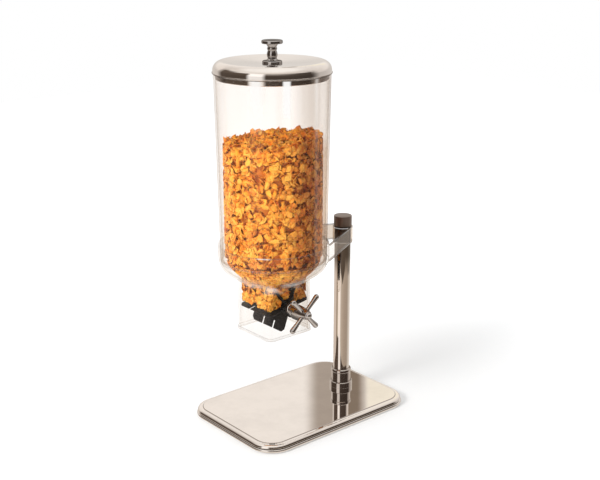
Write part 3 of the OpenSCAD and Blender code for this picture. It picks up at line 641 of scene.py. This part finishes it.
def cereal_column(material):
    """Flakes that fill the container up to its level."""
    heap = Heap(11)
    rng = heap.rng
    radius = (column_high.x - column_low.x) / 2 + 1.5 * MM
    low, high = column_low.z, column_high.z

    def keep(points):
        return inside_tube(points, radius, low + 0.2 * MM, high + 8 * MM)

    core = radius - SKIN
    levels = np.arange(low + 3 * MM, high - 16 * MM, 6 * MM)
    heap.lump([(core, z) for z in levels], AXIS, 40, 1.6 * MM)
    for _ in range(COLUMN_FLAKES):
        a = rng.uniform(0, 2 * math.pi)
        share = rng.random()
        depth = (0.8 + 7.2 * share) * MM
        out = np.array([math.cos(a), math.sin(a), 0])
        spot = AXIS + out[:2] * (radius - depth)
        top = heap_level(*spot, high)
        place = np.array([*spot, low + 2 * MM + (top - low - 3 * MM) * rng.random()])
        heap.flake(place, out, 0.46 + 0.5 * share, rng.uniform(*FLAKE_SIZES), keep, share)
    for _ in range(TOP_FLAKES):
        a, r = rng.uniform(0, 2 * math.pi), (radius - 3 * MM) * math.sqrt(rng.random())
        spot = AXIS + r * np.array([math.cos(a), math.sin(a)])
        share = rng.random()
        place = np.array([*spot, heap_level(*spot, high) - (share * 9 - 1) * MM])
        heap.flake(place, (0, 0, 1), 0.7, rng.uniform(*FLAKE_SIZES), keep, 0.8 * share)
    return heap.build("cornflakes_column", "container", "cereal_column", material)


def throat_radius(z):
    """Radius of the heap in the hopper's shoulder at a height: round at the top, then falling in."""
    fall = (throat_high.z - z) / MM
    return (68 - 0.012 * fall * fall - 0.55 * max(0.0, fall - 6)) * MM


def cereal_throat(material):
    """Flakes in the hopper's shoulder and in the square neck above the wheel."""
    heap = Heap(23)
    rng = heap.rng
    low, high = throat_low.z, throat_high.z
    neck = WHEEL_R - 0.8 * MM
    neck_corner = WHEEL_R + 10.5 * MM
    neck_top = high - 30 * MM
    clear = WHEEL_R + 0.9 * MM

    def keep(points):
        points = points.copy()
        points[:, 2] = np.clip(points[:, 2], low, high)
        for p in points:
            dx, dy = p[0] - AXIS[0], p[1] - AXIS[1]
            reach, square = math.hypot(dx, dy), max(abs(dx), abs(dy))
            in_neck = min(neck / max(square, 1e-9), neck_corner / max(reach, 1e-9))
            in_round = (throat_radius(p[2]) + 2 * MM) / max(reach, 1e-9)
            shrink = min(1.0, in_neck if p[2] < neck_top else max(in_neck, in_round))
            p[0], p[1] = AXIS[0] + dx * shrink, AXIS[1] + dy * shrink
            wy, wz = p[1] - WHEEL[1], p[2] - WHEEL[2]
            away = math.hypot(wy, wz)
            if away < clear:
                p[1], p[2] = WHEEL[1] + wy * clear / away, WHEEL[2] + wz * clear / away
        return points

    profile = [(throat_radius(z) - 6 * MM, z)
               for z in np.arange(neck_top + 2 * MM, high - 2 * MM, 4 * MM)]
    heap.lump(profile, AXIS, 36, 1.0 * MM)
    for _ in range(SHOULDER_FLAKES):
        a = rng.uniform(0, 2 * math.pi)
        z = rng.uniform(neck_top, high - 1 * MM)
        share = rng.random()
        out = np.array([math.cos(a), math.sin(a), -0.4])
        place = np.array([*AXIS, z]) + out * [1, 1, 0] * (throat_radius(z) - 5 * share * MM)
        heap.flake(place, out, 0.38 + 0.4 * share, rng.uniform(*FLAKE_SIZES), keep, share)
    for _ in range(NECK_FLAKES):
        out = np.array([(1, 0), (0, 1), (-1, 0), (0, -1)][rng.randrange(4)], float)
        across = np.array([-out[1], out[0]])
        share = rng.random()
        spot = AXIS + out * (neck - (0.8 + 7 * share) * MM) + across * rng.uniform(-neck, neck)
        place = np.array([*spot, rng.uniform(low, neck_top + 3 * MM)])
        heap.flake(place, (*out, 0), 0.38 + 0.4 * share, rng.uniform(*FLAKE_SIZES), keep, share)
    return heap.build("cornflakes_throat", "hopper", "cereal_throat", material)


def cereal_pockets(material):
    """Flakes that lie between the wheel's upper vanes, and turn with it."""
    heap = Heap(37)
    rng = heap.rng
    half_w = (pockets_high.x - pockets_low.x) / 2
    top_r, root_r = WHEEL_R - 0.7 * MM, 12.5 * MM
    gap = 1.9 * MM
    first, step = math.radians(10), math.radians(60)
    for pocket in range(3):
        start = first + pocket * step

        def keep(points, start=start):
            points = points.copy()
            points[:, 0] = np.clip(points[:, 0], WHEEL[0] - half_w, WHEEL[0] + half_w)
            for p in points:
                wy, wz = p[1] - WHEEL[1], p[2] - WHEEL[2]
                r = min(max(math.hypot(wy, wz), root_r), top_r)
                free = math.asin(gap / r)
                a = math.atan2(wz, wy)
                a = min(max(a, start + free), start + step - free)
                p[1], p[2] = WHEEL[1] + r * math.cos(a), WHEEL[2] + r * math.sin(a)
            return points

        for _ in range(POCKET_FLAKES):
            a = start + rng.uniform(0.12, 0.88) * step
            r = root_r + (top_r - root_r) * math.sqrt(rng.uniform(0.05, 1))
            x = WHEEL[0] + rng.uniform(-half_w, half_w)
            near_side = abs(x - WHEEL[0]) > half_w - 7 * MM
            out = (math.copysign(1, x - WHEEL[0]), 0, 0) if near_side else (
                0, math.cos(a), math.sin(a))
            place = np.array([x, WHEEL[1] + r * math.cos(a), WHEEL[2] + r * math.sin(a)])
            # painted shade: flakes further from a pocket's ends and nearer its root are darker
            inside = min(1.0, (half_w - abs(x - WHEEL[0])) / DEPTH_SCALE) * (1 - r / top_r) * 2
            heap.flake(place, out, 0.45, rng.uniform(*FLAKE_SIZES), keep, min(1.0, inside))
    return heap.build("cornflakes_pockets", "portion_wheel", "cereal_pockets", material)


# ---------------------------------------------------------------- studio

def turned(degrees):
    """Place on a ramp of a direction, in degrees to the right of the camera's own."""
    return degrees / 360 + 0.5


LOW_LOOK = [(-180, (0.72, 0.62, 0.53)), (-92, (0.76, 0.64, 0.55)), (-80, (0.36, 0.27, 0.19)),
            (-70, (0.36, 0.27, 0.19)), (-60, (0.85, 0.75, 0.64)), (-46, (1.18, 1.07, 0.96)),
            (-28, (1.12, 1.0, 0.90)), (-18, (0.66, 0.56, 0.47)), (0, (0.55, 0.45, 0.36)),
            (35, (0.46, 0.37, 0.29)), (82, (0.42, 0.34, 0.27)), (100, (0.60, 0.54, 0.47)),
            (125, (0.85, 0.79, 0.72)), (180, (0.72, 0.62, 0.53))]
EYE_LOOK = [(-180, (1.02, 0.96, 0.90)), (-128, (0.95, 0.87, 0.80)), (-112, (0.13, 0.098, 0.078)),
            (-50, (0.11, 0.080, 0.060)), (-43, (1.35, 1.30, 1.26)), (-19, (1.35, 1.30, 1.26)),
            (-11, (0.10, 0.076, 0.062)), (84, (0.075, 0.058, 0.047)), (104, (0.80, 0.74, 0.69)),
            (135, (0.92, 0.86, 0.81)), (180, (1.02, 0.96, 0.90))]
HIGH_LOOK = [(-180, (1.02, 0.97, 0.92)), (-127, (0.80, 0.73, 0.67)), (-60, (0.95, 0.89, 0.83)),
             (0, (0.86, 0.79, 0.72)), (60, (0.78, 0.71, 0.65)), (118, (0.90, 0.84, 0.79)),
             (180, (1.02, 0.97, 0.92))]


# Upright strips behind the stand, seen in the tray: start and end to the right, softness, shade.
BEHIND_LOOK = [(0.010, 0.062, 0.008, (0.47, 0.40, 0.34)), (0.033, 0.056, 0.003, (0.27, 0.21, 0.16)),
               (0.062, 0.30, 0.003, (1.04, 0.97, 0.83))]


def studio_world():
    """White to the eye; in reflections, a pale sweep behind, a dark room in front, light from above."""
    s = Shader("studio", world=True)
    direction = s.add("TexCoord").outputs["Generated"]
    up = s.add("SeparateXYZ", {0: direction}).outputs[2]

    def along(axis):
        node = s.add("VectorMath", {0: direction, 1: axis}, operation="DOT_PRODUCT")
        return node.outputs["Value"]

    ahead, right = along(TO_CAMERA), along(CAM_RIGHT)
    turn = s.math("MULTIPLY_ADD", s.math("ARCTAN2", right, ahead), 1 / (2 * math.pi), 0.5)
    low, eye, high = (s.ramp(turn, [(turned(at), shade) for at, shade in look])
                      for look in (LOW_LOOK, EYE_LOOK, HIGH_LOOK))

    dusk = s.step(up, 0.08, 0.32, 0.74, 1.0)
    eye = s.mix(1.0, eye, dusk, "MULTIPLY")
    look = s.mix(s.step(up, -0.27, -0.17), low, eye)
    look = s.mix(s.step(up, 0.46, 0.66), look, high)
    look = s.mix(s.step(up, -0.428, -0.445), look, colour(0.97, 0.90, 0.82))
    look = s.mix(s.step(up, 0.75, 0.95), look, colour(1.12, 1.08, 1.03))
    behind = s.math("MULTIPLY", s.band(up, 0.30, 0.55, 0.03), s.step(ahead, -0.5, -0.8))
    for start, end, soft, shade in BEHIND_LOOK:
        strip = s.math("MULTIPLY", behind, s.band(right, start, end, soft))
        look = s.mix(strip, look, colour(*shade))

    path = s.add("LightPath")
    reflected = s.add("Background", {0: look}).outputs[0]
    fill = s.add("Background", {0: colour(1.0, 0.97, 0.93), 1: FILL_LIGHT}).outputs[0]
    backdrop = s.add("Background", {0: colour(1, 1, 1)}).outputs[0]
    seen = s.add("MixShader", {0: path.outputs["Is Glossy Ray"], 1: fill, 2: reflected}).outputs[0]
    return s.close(s.add("MixShader", {0: path.outputs["Is Camera Ray"], 1: seen,
                                       2: backdrop}).outputs[0])


def paper_floor():
    """White paper that all but merges with the backdrop; mirrors show the studio instead."""
    s = Shader("floor_paper")
    fibre = s.noise(160, 4, 0.6)
    base = s.mix(fibre, colour(0.90, 0.925, 0.955), colour(0.87, 0.895, 0.925))
    normal = s.bump(fibre, 0.03, 0.2 * MM)
    reach = s.add("VectorMath", {0: s.add("NewGeometry").outputs["Position"]},
                  operation="LENGTH").outputs["Value"]
    lift = s.step(reach, 0.20, 0.90, 0.08, 0.50)
    material = s.close(s.principled(Base_Color=base, Roughness=0.7, Normal=normal,
                                    Specular_IOR_Level=0.1, Emission_Color=base,
                                    Emission_Strength=lift))
    corners = [(x * FLOOR_HALF, y * FLOOR_HALF, 0) for x, y in ((-1, -1), (1, -1), (1, 1), (-1, 1))]
    mesh = bpy.data.meshes.new("floor")
    mesh.from_pydata(corners, [], [(0, 1, 2, 3)])
    mesh.materials.append(material)
    floor = bpy.data.objects.new("floor", mesh)
    floor.visible_glossy = False
    bpy.context.scene.collection.objects.link(floor)


def area_light(name, place, target, size, power, tint):
    lamp = bpy.data.lights.new(name, "AREA")
    lamp.shape, lamp.size, lamp.energy, lamp.color = "DISK", size, power, tint
    lamp_object = bpy.data.objects.new(name, lamp)
    lamp_object.location = place
    lamp_object.rotation_euler = (target - place).to_track_quat("-Z", "Y").to_euler()
    lamp_object.visible_glossy = False
    bpy.context.scene.collection.objects.link(lamp_object)


def studio_lights():
    """A soft key from the left of the camera and a gentle overhead fill."""
    target = Vector((AXIS[0], AXIS[1], LIGHTS_AIM_Z))
    key = target + 1.3 * TO_CAMERA - 1.4 * CAM_RIGHT + Vector((0, 0, 0.95))
    area_light("key", key, target, KEY_SIZE, KEY_POWER, (1.0, 0.97, 0.93))
    above = target + Vector((0, 0, 2.0)) - 0.3 * TO_CAMERA
    area_light("overhead", above, target, OVERHEAD_SIZE, OVERHEAD_POWER, (1.0, 0.98, 0.96))


def photo_camera():
    """Camera at the photograph's viewing angle."""
    centre = Vector((AXIS[0], AXIS[1], 0)) + CAM_SIDE_SHIFT * CAM_RIGHT
    camera = bpy.data.objects.new("camera", bpy.data.cameras.new("camera"))
    camera.location = centre + CAM_DISTANCE * TO_CAMERA + Vector((0, 0, CAM_HEIGHT))
    camera.rotation_euler = (math.pi / 2 - CAM_TILT, 0, CAM_AZIMUTH)
    camera.data.lens = CAM_LENS
    camera.data.sensor_width = CAM_SENSOR
    bpy.context.scene.collection.objects.link(camera)
    bpy.context.scene.camera = camera


paint_nodes()
flake = toasted_flake("toasted_flake")
cereal_column(flake)
cereal_throat(flake)
cereal_pockets(flake)

scene = bpy.context.scene
scene.world = studio_world()
paper_floor()
studio_lights()
photo_camera()
scene.view_settings.view_transform = "Standard"
scene.cycles.transparent_max_bounces = 32
